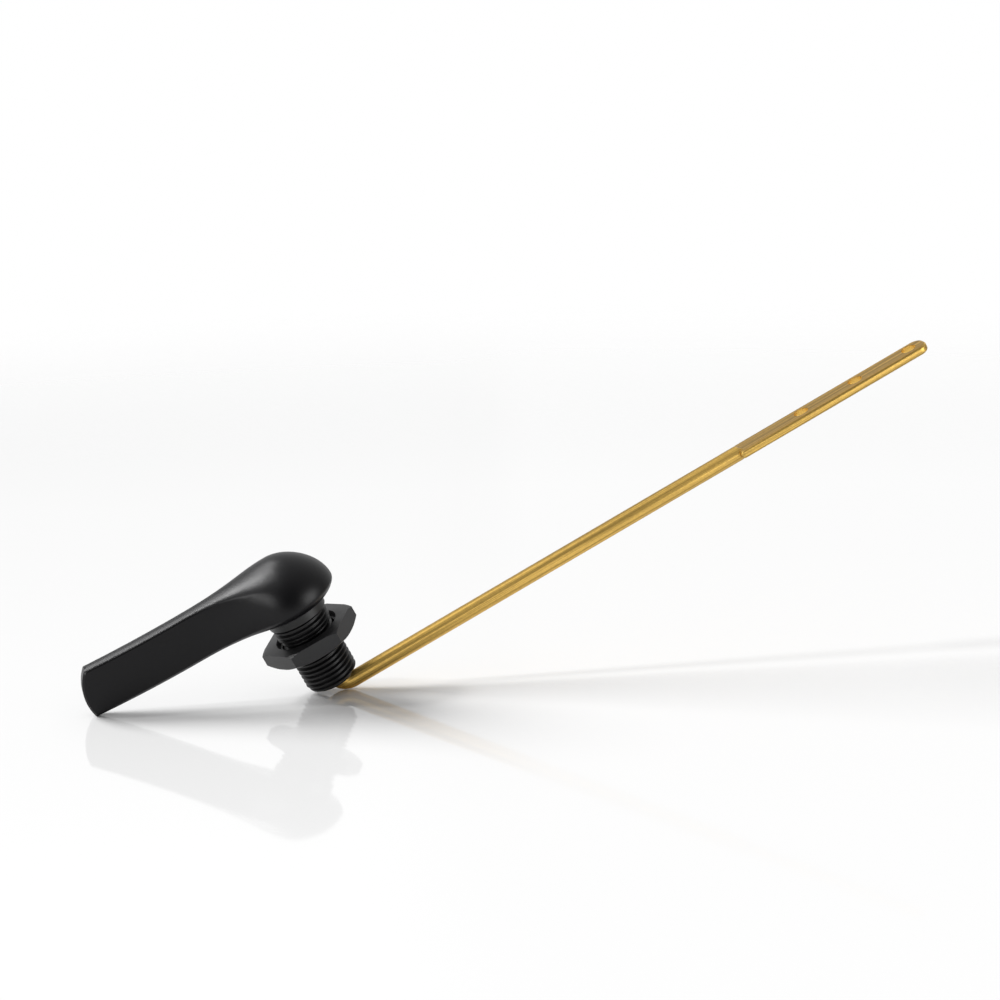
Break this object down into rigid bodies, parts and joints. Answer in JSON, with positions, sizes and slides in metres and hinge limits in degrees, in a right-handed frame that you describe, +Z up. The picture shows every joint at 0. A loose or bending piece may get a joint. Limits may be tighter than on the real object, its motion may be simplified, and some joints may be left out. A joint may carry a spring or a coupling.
{
  "type": "cistern lever",
  "caption": "Cistern flush lever: domed handle with a flat blade, threaded sleeve with a lock nut, and a bent brass lift arm drilled at its flat end for the chain.",
  "frame": {"origin": "on the shank axis, in the face of the sleeve's flange that bears on the outside of the cistern wall", "axes": "+Y along the shank into the cistern, +X along the lift arm, +Z up with the lever at rest"},
  "size_m": [0.2677, 0.0482, 0.029],
  "materials": {
    "handle": "satin black",
    "sleeve": "moulded black",
    "nut": "moulded black",
    "arm": "drawn and pressed, unlacquered"
  },
  "bodies": {
    "sleeve": {"threaded_sleeve": "sleeve"},
    "lever": {"handle": "handle", "lift_arm": "arm"},
    "nut": {"lock_nut": "nut"}
  },
  "joints": [
    {"name": "lever_turn", "type": "hinge", "parent": "sleeve", "child": "lever", "pos_m": [0, 0, 0], "axis": [0, -1, 0], "range_deg": [0, 35]},
    {"name": "nut_travel", "type": "slide", "parent": "sleeve", "child": "nut", "axis": [0, 1, 0], "range_m": [-0.0043, 0.0125]}
  ]
}
